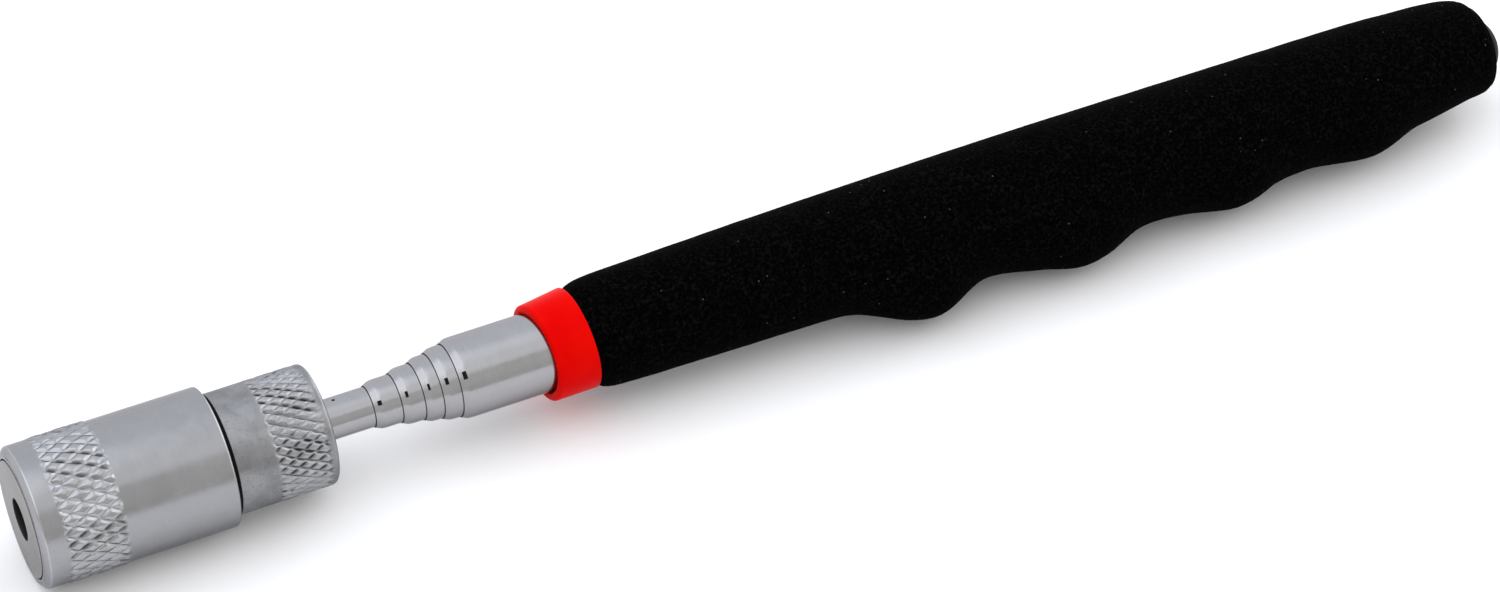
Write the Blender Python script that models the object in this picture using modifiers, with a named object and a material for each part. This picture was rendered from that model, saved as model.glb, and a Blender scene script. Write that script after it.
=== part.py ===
"""Telescoping magnetic pick-up tool with a lamp in its head, closed and lying on its side.

Metres, +Z up. +X runs along the tool from the magnet to the end of the grip. The tool rests on
z = 0 on the rim of its head and on its finger ridges, with the middle of its box over the origin.
Stations along the tool are in millimetres, counted from the corner of the head's bevelled rim, and
radii are millimetres from the tool's axis: MM turns both into metres when a mesh is made.
"""

import math

import bpy
from mathutils import Quaternion, Vector

MM = 0.001

# Head: the front shell, its magnet and its lamp
HEAD_R = 8.55
HEAD_RIM_R = 8.62
HEAD_KNURL_R = 8.72
HEAD_KNURL = (2.75, 9.8)
HEAD_FRONT = -0.4
HEAD_BACK = 23.55
RIM_FACE_R = 7.65
RIM_BACK = 0.3
KNURL_RAMP = 0.2
MAGNET_R = 7.2
MAGNET_FRONT = -0.5
MAGNET_POCKET_R = 7.3
MAGNET_HOLE_R = 2.575
MAGNET_BACK = 5.1
WEB = (5.3, 6.3)
WEB_HOLE_R = 2.65
LAMP_R = 2.45
LAMP_TIP = 1.7
LAMP_FLANGE_R = 2.95
LAMP_FLANGE = (6.6, 7.5)
HOLDER_R = 6.0
HOLDER = (6.6, 8.8)
HOLDER_POCKET_R = 3.15
PIN_R = 0.45
PIN_HEAD_R = 2.0
CELL_BORE_R = 6.3
THREAD_BORE_R = 7.05
THREAD_BORE_FRONT = 15.8

# Cells, their sleeve and the spring behind them
CELL_COUNT = 4
CELL_R = 5.8
CELL_LENGTH = 5.4
CELL_PITCH = 5.5
CELL_FRONT = 9.15
SLEEVE_R = (5.9, 6.1)
SPRING_WIRE_R = 0.25
SPRING_TURNS = 3.0
SPRING_RADII = (3.0, 5.0)

# Rear cap, which screws into the shell and carries the rod
CAP_R = 7.42
CAP_KNURL_R = 7.46
CAP_KNURL = (29.0, 35.6)
CAP_FRONT = 23.85
CAP_BACK = 36.35
CAP_EDGE = 0.5
NECK_R = 6.95
NECK_FRONT = 17.6
CAP_BORE_R = 6.25
CAP_WALL_FRONT = 33.8
SOCKET_R = 2.65
SOCKET_FRONT = 35.3
SCREW_HOLE_R = 1.35
SCREW_R = 1.2
SCREW_HEAD_R = 2.2
SCREW_BACK = 43.0

# Rod: six tubes, each one millimetre thicker than the last
TUBE_COUNT = 6
TUBE_R_FIRST = 2.5
TUBE_R_STEP = 0.5
TUBE_WALL = 0.3
TUBE_FRONTS = (35.4, 42.75, 46.05, 48.75, 50.9, 53.1)
LAST_TAIL = 192.4
FIRST_TAIL = 159.0
TAIL_STEP = 6.5
LIP_GAP = 0.05
LIP_EDGE = 0.12
LIP_LENGTH = 1.2
NECK_LENGTH = 5.5
NECK_DEPTH = 0.2
NECK_RAMP = 0.3
TAIL_FLANGE = 0.8
BUSH_GAP = 0.35
BUSH_INNER = -0.12
BUSH_OUTER = 0.17
BUSH_SLOT = 0.8
TIP_PLUG_R = (1.3, 2.1)
TIP_PLUG_BACK = 44.0

# Collar and grip
COLLAR = (64.05, 69.9)
COLLAR_R = (6.25, 6.4)
COLLAR_BORE_R = 5.35
COLLAR_EDGE = 0.6
COLLAR_TILT = 4.0
COLLAR_LEAN = 43.1
LEAN_FADE = 12.0
GRIP_BORE_R = 5.15
GRIP_LENGTHS = (70.25, 194.5)
RIDGE_DROP = 25.0
RIDGE_SHARPNESS = 6
# Radius of the smooth side, opposite the fingers, at stations along the grip
BACK_LINE = (
    (70.25, 6.2), (71.05, 6.65), (72.5, 6.98), (81.0, 7.28), (101.0, 7.74), (123.0, 8.0),
    (134.0, 8.05), (165.0, 7.97), (177.0, 7.93), (184.0, 7.68), (189.0, 7.45), (191.8, 7.1),
    (193.7, 6.4), (194.5, 5.6),
)
# Radius of the finger side without its ridges
FRONT_LINE = (
    (70.25, 6.05), (71.05, 6.5), (72.5, 6.74), (81.0, 6.96), (101.0, 7.27), (123.0, 7.95),
    (134.0, 8.0), (165.0, 7.95), (177.0, 7.75), (182.4, 7.3), (186.5, 6.76), (191.0, 6.05),
    (193.7, 5.75), (194.5, 5.35),
)
# Height of the finger ridges over that line: lows and highs by turns
RIDGE_LINE = (
    (101.0, 0.0), (113.6, 4.05), (122.6, 0.45), (134.3, 3.4), (145.2, 0.35), (156.2, 2.28),
    (167.0, 0.2), (176.0, 1.65), (183.6, 0.0),
)
PLUG_STEM_R = 4.6
PLUG_STEM_FRONT = 187.0
PLUG_R = 4.95
PLUG_SHOULDER = 192.7
PLUG_DOME = (194.6, 197.2)
PLUG_DOME_R = 4.3

# Cross-sections of the foam before, along and behind the ridges
GRIP_FRONT_STATIONS = (70.25, 71.05, 72.5, 81.0, 92.0, 101.0)
RIDGE_SECTIONS = 22
GRIP_BACK_STATIONS = (186.5, 189.5, 191.8, 193.7, 194.5)

SEGMENTS = 24
HEAD_SEGMENTS = 32
GRIP_SEGMENTS = 24
SHARP = math.radians(35)
PARTS = "magnetic_pickup_tool"
CUTTERS = "cutters"

FINISHES = {
    "satin_chrome": ((0.62, 0.62, 0.63), 0.28, 1.0),
    "polished_tube": ((0.68, 0.67, 0.66), 0.2, 1.0),
    "magnet_plate": ((0.55, 0.54, 0.52), 0.35, 1.0),
    "clear_lens": ((0.75, 0.78, 0.7), 0.12, 0.0),
    "black_nylon": ((0.03, 0.03, 0.03), 0.5, 0.0),
    "cell_steel": ((0.7, 0.7, 0.68), 0.25, 1.0),
    "brass": ((0.78, 0.58, 0.25), 0.3, 1.0),
    "green_sleeve": ((0.06, 0.2, 0.12), 0.5, 0.0),
    "spring_steel": ((0.6, 0.6, 0.58), 0.3, 1.0),
    "red_plastic": ((0.8, 0.01, 0.008), 0.35, 0.0),
    "black_foam": ((0.012, 0.012, 0.013), 0.95, 0.0),
    "black_plastic": ((0.015, 0.015, 0.016), 0.22, 0.0),
}


def clear_scene():
    for obj in list(bpy.data.objects):
        bpy.data.objects.remove(obj, do_unlink=True)


def make_collection(name):
    bpy.context.scene.collection.children.link(bpy.data.collections.new(name))


def make_material(node, finish):
    colour, roughness, metallic = FINISHES[finish]
    made = bpy.data.materials.new(f"{node}_{finish}")
    made.use_nodes = True
    shader = made.node_tree.nodes["Principled BSDF"]
    shader.inputs["Base Color"].default_value = (*colour, 1.0)
    shader.inputs["Roughness"].default_value = roughness
    shader.inputs["Metallic"].default_value = metallic
    return made


def arc(x, r, radius, start, end, steps=3):
    """Points round part of a circle in the plane of station and radius, from start to end degrees."""
    turns = [math.radians(start + (end - start) * i / steps) for i in range(steps + 1)]
    return [(x + radius * math.cos(a), r + radius * math.sin(a)) for a in turns]


def interpolate(line, x):
    """Height of a line of (station, height) at x, as a smooth curve with level ends."""
    if x <= line[0][0]:
        return line[0][1]
    if x >= line[-1][0]:
        return line[-1][1]
    i = max(k for k in range(len(line) - 1) if line[k][0] <= x)
    slopes = [line_slope(line, k) for k in (i, i + 1)]
    span = line[i + 1][0] - line[i][0]
    u = (x - line[i][0]) / span
    rise = line[i + 1][1] - line[i][1]
    bend_in = slopes[0] * span - rise
    bend_out = rise - slopes[1] * span
    return line[i][1] + u * rise + u * (1 - u) * ((1 - u) * bend_in + u * bend_out)


def line_slope(line, k):
    """Slope of the smooth curve at its point k: that of the gentler neighbour, or level at a turn."""
    if k in (0, len(line) - 1):
        return 0.0
    before = (line[k][1] - line[k - 1][1]) / (line[k][0] - line[k - 1][0])
    after = (line[k + 1][1] - line[k][1]) / (line[k + 1][0] - line[k][0])
    if before * after <= 0.0:
        return 0.0
    return math.copysign(min(abs(before + after) / 2, 2 * abs(before), 2 * abs(after)), before)


def grip_radius(x, turn):
    """Distance from the tool's axis to the foam's skin, turn radians from the middle of the ridges."""
    back = interpolate(BACK_LINE, x)
    front = interpolate(FRONT_LINE, x)
    mean = (back + front) / 2
    offset = (back - front) / 2
    hull = math.sqrt(mean**2 - (offset * math.sin(turn)) ** 2) - offset * math.cos(turn)
    ridge = interpolate(RIDGE_LINE, x) * ((1 + math.cos(turn)) / 2) ** RIDGE_SHARPNESS
    return hull + ridge


def grip_stations():
    """Stations of the foam's cross-sections: close at its ends and even along its ridges."""
    start, end = RIDGE_LINE[0][0], RIDGE_LINE[-1][0]
    ridges = [start + (end - start) * i / RIDGE_SECTIONS for i in range(1, RIDGE_SECTIONS + 1)]
    return [*GRIP_FRONT_STATIONS, *ridges, *GRIP_BACK_STATIONS]


def ring_directions(count):
    """Unit (y, z) directions round the axis, the first through the middle of the finger ridges."""
    down = math.radians(RIDGE_DROP)
    turns = [2 * math.pi * k / count for k in range(count)]
    return [(t, -math.cos(down + t), -math.sin(down + t)) for t in turns]


def grip_ring(x, count):
    """(y, z) of one cross-section of the foam's skin, from the tool's axis."""
    return [
        (grip_radius(x, t) * y, grip_radius(x, t) * z) for t, y, z in ring_directions(count)
    ]


def resting_place():
    """(y, z) of the tool's axis: the box is centred over the origin, and the lowest piece is on z = 0."""
    skin = [point for x in grip_stations() for point in grip_ring(x, GRIP_SEGMENTS)]
    reach = max(max(-y for y, _ in skin), HEAD_KNURL_R)
    drop = max(max(-z for _, z in skin), HEAD_KNURL_R)
    return (reach - HEAD_KNURL_R) / 2, drop


AXIS_Y, AXIS_Z = resting_place()
START = (-(MAGNET_FRONT + PLUG_DOME[1]) / 2 * MM, AXIS_Y * MM, AXIS_Z * MM)


def add_object(name, data, finish):
    """A piece whose origin is on the tool's axis, at station 0."""
    obj = bpy.data.objects.new(name, data)
    obj.location = START
    bpy.data.collections[PARTS].objects.link(obj)
    data.materials.append(make_material(name, finish))
    return obj


def keep_mesh(obj):
    """The object with its modifiers made part of its mesh, smooth except at real edges."""
    graph = bpy.context.evaluated_depsgraph_get()
    made = bpy.data.meshes.new_from_object(obj.evaluated_get(graph))
    made.shade_smooth()
    made.set_sharp_from_angle(angle=SHARP)
    obj.modifiers.clear()
    obj.data = made
    return obj


def turned(name, finish, outer, inner=(), segments=SEGMENTS):
    """A piece turned about the tool's axis. Both lines of (station, radius) run from front to back.

    A piece with a bore has an inner line. A solid one has none: its outer line starts and ends on
    the axis.
    """
    outline = [(r * MM, 0.0, x * MM) for x, r in list(reversed(outer)) + list(inner)]
    edges = [(i, i + 1) for i in range(len(outline) - 1)]
    if inner:
        edges.append((len(outline) - 1, 0))
    profile = bpy.data.meshes.new(name)
    profile.from_pydata(outline, edges, [])
    obj = add_object(name, profile, finish)
    obj.rotation_euler = (0.0, math.pi / 2, 0.0)
    screw = obj.modifiers.new("turn", "SCREW")
    screw.axis = "Z"
    screw.angle = 2 * math.pi
    screw.steps = segments
    screw.render_steps = segments
    screw.use_merge_vertices = True
    screw.merge_threshold = 0.00001
    return keep_mesh(obj)


def make_head_shell():
    edge = 0.4
    outer = [(HEAD_FRONT, RIM_FACE_R), (RIM_BACK, HEAD_RIM_R)]
    outer += [(HEAD_KNURL[0] - KNURL_RAMP, HEAD_RIM_R), (HEAD_KNURL[0], HEAD_KNURL_R)]
    outer += [(HEAD_KNURL[1], HEAD_KNURL_R), (HEAD_KNURL[1] + KNURL_RAMP, HEAD_R)]
    outer += arc(HEAD_BACK - edge, HEAD_R - edge, edge, 90, 0)
    inner = [(HEAD_FRONT, MAGNET_POCKET_R), (WEB[0], MAGNET_POCKET_R), (WEB[0], WEB_HOLE_R)]
    inner += [(WEB[1], WEB_HOLE_R), (WEB[1], CELL_BORE_R), (THREAD_BORE_FRONT, CELL_BORE_R)]
    inner += [(THREAD_BORE_FRONT, THREAD_BORE_R), (HEAD_BACK, THREAD_BORE_R)]
    turned("head_shell", "satin_chrome", outer, inner, HEAD_SEGMENTS)


def make_magnet():
    chamfer = 0.15
    outer = [(MAGNET_FRONT, MAGNET_R - chamfer), (MAGNET_FRONT + chamfer, MAGNET_R)]
    outer += [(MAGNET_BACK, MAGNET_R)]
    inner = [(MAGNET_FRONT, MAGNET_HOLE_R), (MAGNET_BACK, MAGNET_HOLE_R)]
    turned("ring_magnet", "magnet_plate", outer, inner, HEAD_SEGMENTS)


def make_lamp():
    outer = arc(LAMP_TIP + LAMP_R, 0.0, LAMP_R, 180, 90, 4)
    outer += [(LAMP_FLANGE[0], LAMP_R), (LAMP_FLANGE[0], LAMP_FLANGE_R)]
    outer += [(LAMP_FLANGE[1], LAMP_FLANGE_R), (LAMP_FLANGE[1], 0.0)]
    turned("led", "clear_lens", outer)


def make_lamp_holder():
    floor = LAMP_FLANGE[1] + 0.2
    outer = [(HOLDER[0], HOLDER_R - 0.2), (HOLDER[0] + 0.2, HOLDER_R), (HOLDER[1], HOLDER_R)]
    inner = [(HOLDER[0], HOLDER_POCKET_R), (floor, HOLDER_POCKET_R), (floor, PIN_R + 0.15)]
    inner += [(HOLDER[1], PIN_R + 0.15)]
    turned("led_holder", "black_nylon", outer, inner)
    head = HOLDER[1] + 0.05
    pin = [(floor, 0.0), (floor, PIN_R), (head, PIN_R), (head, PIN_HEAD_R)]
    pin += [(head + 0.15, PIN_HEAD_R - 0.1), (head + 0.2, 0.0)]
    turned("contact_pin", "brass", pin)


def make_cells():
    rim = 0.35
    for i in range(CELL_COUNT):
        x = CELL_FRONT + i * CELL_PITCH
        outer = [(x, 0.0), (x, CELL_R - 0.9), (x + rim, CELL_R - 0.75), (x + rim, CELL_R - 0.25)]
        outer += [(x + rim + 0.25, CELL_R), (x + CELL_LENGTH - 0.25, CELL_R)]
        outer += [(x + CELL_LENGTH, CELL_R - 0.3), (x + CELL_LENGTH, 0.0)]
        turned(f"button_cell_{i + 1}", "cell_steel", outer)
    start = CELL_FRONT + 0.1
    end = CELL_FRONT + CELL_COUNT * CELL_PITCH - 0.2
    sleeve = [[(start, r), (end, r)] for r in SLEEVE_R]
    turned("battery_sleeve", "green_sleeve", sleeve[1], sleeve[0])


def make_contact_spring():
    """A conical coil, wide against the cap's wall and narrow against the last cell."""
    steps = 12
    cells_back = CELL_FRONT + (CELL_COUNT - 1) * CELL_PITCH + CELL_LENGTH
    start = cells_back + 0.1 + SPRING_WIRE_R
    end = CAP_WALL_FRONT - 0.05 - SPRING_WIRE_R
    count = int(SPRING_TURNS * steps) + 1
    curve = bpy.data.curves.new("contact_spring", "CURVE")
    curve.dimensions = "3D"
    curve.bevel_depth = SPRING_WIRE_R * MM
    curve.bevel_resolution = 2
    curve.use_fill_caps = True
    spline = curve.splines.new("POLY")
    spline.points.add(count - 1)
    for i in range(count):
        part = i / (count - 1)
        turn = 2 * math.pi * i / steps
        radius = SPRING_RADII[0] + (SPRING_RADII[1] - SPRING_RADII[0]) * part
        x = start + (end - start) * part
        place = (x * MM, radius * math.cos(turn) * MM, radius * math.sin(turn) * MM, 1.0)
        spline.points[i].co = place
    add_object("contact_spring", curve, "spring_steel")


def make_rear_cap():
    chamfer = 0.3
    outer = [(NECK_FRONT, NECK_R - chamfer), (NECK_FRONT + chamfer, NECK_R), (CAP_FRONT, NECK_R)]
    outer += [(CAP_FRONT, CAP_R - chamfer), (CAP_FRONT + chamfer, CAP_R)]
    outer += [(CAP_KNURL[0] - KNURL_RAMP, CAP_R), (CAP_KNURL[0], CAP_KNURL_R)]
    outer += [(CAP_KNURL[1], CAP_KNURL_R)]
    outer += arc(CAP_BACK - CAP_EDGE, CAP_R - CAP_EDGE, CAP_EDGE, 90, 0)
    inner = [(NECK_FRONT, CAP_BORE_R), (CAP_WALL_FRONT, CAP_BORE_R)]
    inner += [(CAP_WALL_FRONT, SCREW_HOLE_R), (SOCKET_FRONT, SCREW_HOLE_R)]
    inner += [(SOCKET_FRONT, SOCKET_R), (CAP_BACK, SOCKET_R)]
    turned("rear_cap", "satin_chrome", outer, inner, HEAD_SEGMENTS)


def make_rod_fixing():
    """The screw through the cap's wall and the plug in the rod's tip that it pulls on."""
    seat = CAP_WALL_FRONT - 0.1
    outer = [(seat - 1.2, 0.0), (seat - 1.2, SCREW_HEAD_R - 0.2), (seat - 1.0, SCREW_HEAD_R)]
    outer += [(seat, SCREW_HEAD_R), (seat, SCREW_R), (SCREW_BACK - 0.3, SCREW_R)]
    outer += [(SCREW_BACK, SCREW_R - 0.3), (SCREW_BACK, 0.0)]
    turned("head_screw", "spring_steel", outer)
    ends = (TUBE_FRONTS[0] + 0.05, TIP_PLUG_BACK)
    plug = [[(x, r) for x in ends] for r in TIP_PLUG_R]
    turned("rod_tip_plug", "brass", plug[1], plug[0])


def tube_radius(i):
    """Outer radius of tube i, counted from 1 at the head."""
    return TUBE_R_FIRST + TUBE_R_STEP * (i - 1)


def tube_tail(i):
    return LAST_TAIL if i == TUBE_COUNT else FIRST_TAIL + TAIL_STEP * (i - 1)


def neck_ends(i):
    """Stations of the rolled neck near the tail of tube i, where its friction bush sits."""
    end = tube_tail(i) - TAIL_FLANGE
    return end - NECK_LENGTH, end


def make_tube(i):
    r = tube_radius(i)
    bore = r - TUBE_WALL
    front = TUBE_FRONTS[i - 1]
    tail = tube_tail(i)
    if i == 1:
        outer = [(front, r - 0.1), (front + 0.1, r)]
        inner = [(front, bore)]
    else:
        guide = tube_radius(i - 1) + LIP_GAP
        outer = [(front, guide + LIP_EDGE), (front + LIP_LENGTH * 0.75, r - 0.06)]
        outer += [(front + LIP_LENGTH, r)]
        inner = [(front, guide), (front + LIP_LENGTH * 0.75, guide), (front + LIP_LENGTH + 0.2, bore)]
    if i < TUBE_COUNT:
        start, end = neck_ends(i)
        low, high = start + NECK_RAMP, end - NECK_RAMP
        outer += [(start, r), (low, r - NECK_DEPTH), (high, r - NECK_DEPTH), (end, r)]
        inner += [(start - 0.1, bore), (low - 0.1, bore - NECK_DEPTH)]
        inner += [(high + 0.1, bore - NECK_DEPTH), (end + 0.1, bore)]
    turned(f"tube_{i}", "polished_tube", outer + [(tail, r)], inner + [(tail, bore)])


def make_bush(i):
    """The split brass ring on the neck of tube i, which rubs inside the next tube."""
    r = tube_radius(i)
    ends = neck_ends(i)
    start, end = ends[0] + BUSH_GAP, ends[1] - BUSH_GAP
    crown = r + BUSH_OUTER
    outer = [(start, crown - 0.1), (start + 0.3, crown), (end - 0.3, crown), (end, crown - 0.1)]
    inner = [(start, r + BUSH_INNER), (end, r + BUSH_INNER)]
    ring = turned(f"friction_bush_{i}", "brass", outer, inner)
    bpy.ops.mesh.primitive_cube_add(size=1.0)
    cutter = bpy.context.object
    cutter.name = f"bush_slot_{i}"
    for group in list(cutter.users_collection):
        group.objects.unlink(cutter)
    bpy.data.collections[CUTTERS].objects.link(cutter)
    cutter.scale = ((end - start + 2.0) * MM, BUSH_SLOT * MM, 2.0 * MM)
    cutter.location = Vector(START) + Vector(((start + end) / 2, 0.0, r)) * MM
    cutter.hide_render = True
    cutter.display_type = "WIRE"
    slot = ring.modifiers.new("slot", "BOOLEAN")
    slot.operation = "DIFFERENCE"
    slot.object = cutter


def make_collar():
    """The coloured ring in front of the foam. It leans a little on the tube."""
    edge = COLLAR_EDGE
    outer = arc(COLLAR[0] + edge, COLLAR_R[0] - edge, edge, 180, 90)
    outer += [(COLLAR[1] - 0.2, COLLAR_R[1]), (COLLAR[1], COLLAR_R[1] - 0.2)]
    middle = sum(COLLAR) / 2
    outer = [(x - middle, r) for x, r in outer]
    inner = [(COLLAR[0] - middle, COLLAR_BORE_R), (COLLAR[1] - middle, COLLAR_BORE_R)]
    ring = turned("collar", "red_plastic", outer, inner)
    ring.location.x += middle * MM
    lean = math.radians(COLLAR_LEAN)
    across = Vector((0.0, -math.sin(lean), math.cos(lean)))
    turned_round = ring.rotation_euler.to_quaternion()
    ring.rotation_mode = "QUATERNION"
    ring.rotation_quaternion = Quaternion(across, math.radians(COLLAR_TILT)) @ turned_round


def leaned(x, y, z):
    """A point of the foam, moved along the tool so that its front end follows the collar's lean."""
    lean = math.radians(COLLAR_LEAN)
    height = y * math.cos(lean) + z * math.sin(lean)
    share = max(0.0, 1.0 - (x - GRIP_LENGTHS[0]) / LEAN_FADE)
    return x - share * height * math.tan(math.radians(COLLAR_TILT)), y, z


def make_grip():
    """The foam sleeve: a loft of its cross-sections, closed by its bore."""
    stations = grip_stations()
    count = GRIP_SEGMENTS
    rings = [[leaned(x, y, z) for y, z in grip_ring(x, count)] for x in stations]
    for x in (stations[-1], stations[0]):
        around = ring_directions(count)
        rings.append([leaned(x, GRIP_BORE_R * y, GRIP_BORE_R * z) for _, y, z in around])
    points = [(x * MM, y * MM, z * MM) for ring in rings for x, y, z in ring]
    faces = []
    for i in range(len(rings)):
        here, there = i * count, (i + 1) % len(rings) * count
        for k in range(count):
            after = (k + 1) % count
            faces.append((here + k, here + after, there + after, there + k))
    mesh = bpy.data.meshes.new("foam_grip")
    mesh.from_pydata(points, [], faces)
    mesh.shade_smooth()
    mesh.set_sharp_from_angle(angle=SHARP)
    add_object("foam_grip", mesh, "black_foam")


def make_end_plug():
    """A stem pushed into the last tube, with a domed head that shows beyond the foam."""
    rise = PLUG_DOME[1] - PLUG_DOME[0]
    ball = (PLUG_DOME_R**2 + rise**2) / (2 * rise)
    widest = math.degrees(math.asin(PLUG_DOME_R / ball))
    outer = [(PLUG_STEM_FRONT, 0.0), (PLUG_STEM_FRONT, PLUG_STEM_R - 0.5)]
    outer += [(PLUG_STEM_FRONT + 0.8, PLUG_STEM_R), (PLUG_SHOULDER, PLUG_STEM_R)]
    outer += [(PLUG_SHOULDER, PLUG_R), (PLUG_DOME[0] - 0.6, PLUG_R)]
    dome = arc(PLUG_DOME[1] - ball, 0.0, ball, widest, 0, 5)
    turned("end_plug", "black_plastic", outer + dome[:-1] + [(PLUG_DOME[1], 0.0)])


def build():
    clear_scene()
    make_collection(PARTS)
    make_collection(CUTTERS)
    make_head_shell()
    make_magnet()
    make_lamp()
    make_lamp_holder()
    make_cells()
    make_contact_spring()
    make_rear_cap()
    make_rod_fixing()
    for i in range(1, TUBE_COUNT + 1):
        make_tube(i)
    for i in range(1, TUBE_COUNT):
        make_bush(i)
    make_collar()
    make_grip()
    make_end_plug()


build()
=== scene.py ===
"""Looks of the telescoping magnetic pick-up tool: its fine pieces, materials, floor, light and camera.

The pieces are made in millimetres from the tool's axis and from station 0, which lies 0.5 mm behind
the magnet's face, with +X along the tool. A turn is an angle round the axis, in radians, from +Y
towards +Z. A piece also holds painted light at each of its points: painted shade from 0 to 1,
and below 0 a painted highlight.
"""

import math

import bmesh
import bpy
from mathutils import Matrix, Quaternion, Vector, noise


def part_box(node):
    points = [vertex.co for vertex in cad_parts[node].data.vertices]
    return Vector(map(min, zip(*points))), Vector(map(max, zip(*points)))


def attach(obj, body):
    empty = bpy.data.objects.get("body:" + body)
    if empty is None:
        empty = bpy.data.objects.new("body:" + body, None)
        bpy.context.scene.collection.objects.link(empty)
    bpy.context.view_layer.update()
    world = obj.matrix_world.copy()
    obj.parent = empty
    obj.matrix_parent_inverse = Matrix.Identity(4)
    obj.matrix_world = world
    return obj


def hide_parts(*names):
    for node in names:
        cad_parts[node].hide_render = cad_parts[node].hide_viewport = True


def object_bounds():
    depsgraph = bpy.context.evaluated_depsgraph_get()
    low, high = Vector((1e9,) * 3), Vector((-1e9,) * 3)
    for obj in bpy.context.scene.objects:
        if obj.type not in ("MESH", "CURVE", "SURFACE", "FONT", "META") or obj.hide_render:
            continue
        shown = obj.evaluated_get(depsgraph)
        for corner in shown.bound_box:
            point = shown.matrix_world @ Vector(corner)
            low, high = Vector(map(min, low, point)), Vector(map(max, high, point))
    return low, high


MM = 0.001
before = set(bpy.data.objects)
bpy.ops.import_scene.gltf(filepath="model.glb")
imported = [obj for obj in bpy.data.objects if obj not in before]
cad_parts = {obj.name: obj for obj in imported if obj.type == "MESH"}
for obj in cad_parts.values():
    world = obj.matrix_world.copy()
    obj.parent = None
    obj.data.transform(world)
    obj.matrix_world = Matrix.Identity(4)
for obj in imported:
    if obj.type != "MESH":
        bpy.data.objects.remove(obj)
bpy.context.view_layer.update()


def middle_of(node):
    low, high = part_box(node)
    return (low + high) / 2


MAGNET_FRONT = -0.5
START = Vector((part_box("ring_magnet")[0].x - MAGNET_FRONT * MM, *middle_of("tube_6").yz))


def ends_of(node):
    """Stations of the front and back of a CAD node."""
    low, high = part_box(node)
    return (low.x - START.x) / MM, (high.x - START.x) / MM


# Painted shade of the recesses and gaps, where the light does not reach
RECESS_SHADE = 0.95

# Head shell and its rim, with a line scribed in the rim's face and painted shade in it. The painted
# shade follows noise round a circle (radius, height), as (gain, what is taken off, most).
HEAD_FRONT, HEAD_BACK = ends_of("head_shell")
HEAD_R = 8.6
HEAD_EDGE = 0.3
HEAD_RIM_R = 8.66
RIM_BACK = 0.22
RIM_EASE = 0.16
RIM_LAND = 0.15
BEVEL_FRONT = (0.03, 0.13)
# A painted highlight along the rim's outer edge: its width and strength
RIM_EDGE_WIDTH = 0.12
RIM_EDGE_HIGHLIGHT = 0.5
RIM_LINE_R = 7.85
RIM_LINE_DEPTH = 0.04
RIM_SHADE_CIRCLE = (3.0, 16.75)
RIM_SHADE = (4.0, 0.3, 0.9)
POCKET_R = 7.32
# Painted shade on the pocket's wall, and a painted highlight on its edge
POCKET_SHADE = 0.8
POCKET_EDGE_HIGHLIGHT = -0.6
WEB = (5.3, 6.3)
WEB_HOLE_R = 2.65
CELL_BORE_R = 6.3
THREAD_BORE_R = 7.05
THREAD_BORE_FRONT = 15.8
THREAD_BORE_CHAMFER = 0.3

# Magnet and lamp. An edge is (depth, inset), a profile (depth, radius), the painted shade in the hole
# (depth, shade).
MAGNET_R = 7.17
MAGNET_TURNS = 128
MAGNET_EDGE = ((0.0, 0.12), (0.03, 0.04), (0.12, 0.0))
MAGNET_HOLE_R = 2.575
MAGNET_HOLE_EDGE = (0.06, 0.08)
MAGNET_HOLE_SHADE = (0.5, 0.85)
LAMP_R = 2.45
LENS_TURNS, CUP_TURNS, CHIP_TURNS = 64, 32, 24
LAMP_FLANGE_R = 2.95
LAMP_FLANGE = (6.6, 7.5)
LAMP_CUP_FRONT = 2.1
LAMP_CUP = ((0.0, 0.55), (0.0, 0.9), (0.9, 0.9), (1.1, 0.45))
LAMP_CUP_INSIDE = ((0.6, 0.0), (0.6, 0.35))
LAMP_POST_R = 0.4
LAMP_POST_GAP = 0.1
LAMP_CHIP = ((0.25, 0.0), (0.3, 0.4), (0.55, 0.36), (0.55, 0.0))

# Rear cap and its thread. An edge or a chamfer is (length, inset).
CAP_FRONT = 23.85
CAP_R = 7.42
CAP_EDGE = 0.5
CAP_CHAMFER = 0.28
CAP_CHAMFER_EDGE = (0.04, 0.03)
CAP_BORE_R = 6.25
CAP_WALL = (33.8, 35.3)
SCREW_HOLE_R = 1.35
SOCKET_R = 2.65
SOCKET_CHAMFER = 0.2
NECK_CHAMFER = (0.2, 0.1)
THREAD = (17.95, 23.2)
THREAD_R = (6.5, 6.95)
THREAD_PITCH = 1.0
THREAD_STEPS = 8
THREAD_FLANK = 2.6
# Painted shade in the thread's roots
THREAD_SHADE = 0.5
THREAD_RUN_OUT = 0.2

# Knurls. The grooves wander by a part of a pitch, and each scale of noise is per mm. The painted
# shade in the grooves and the crossing are (gain, what is taken off).
HEAD_KNURL = (2.45, 10.0)
HEAD_KNURL_R = (8.5, 8.77)
HEAD_KNURL_COUNT = 32
CAP_KNURL = (28.8, 35.6)
CAP_KNURL_R = (7.18, 7.46)
CAP_KNURL_COUNT = 34
KNURL_HELIX = math.radians(30)
KNURL_STEPS = 12
KNURL_RUN_OUT = 0.5
KNURL_CLEAR = 0.08
KNURL_FLAT = 1.2
WANDER = 0.12
WANDER_SCALE = 0.3
WANDER_SHIFTS = (Vector((0.0, 0.0, 0.0)), Vector((9.0, 4.0, 2.0)))
WEAR = 0.4
WEAR_SCALE = 0.8
GROOVE_SHADE = (5.0, 0.6)
GROOVE_SHADE_SCALE = 0.22
GROOVE_SHADE_SHIFTS = (Vector((18.0, 0.0, 27.0)), Vector((78.0, 30.0, 21.0)))
GROOVE_DEPTHS = 1.6
GROOVE_CROSSING = (2.0, 0.6)
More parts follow.
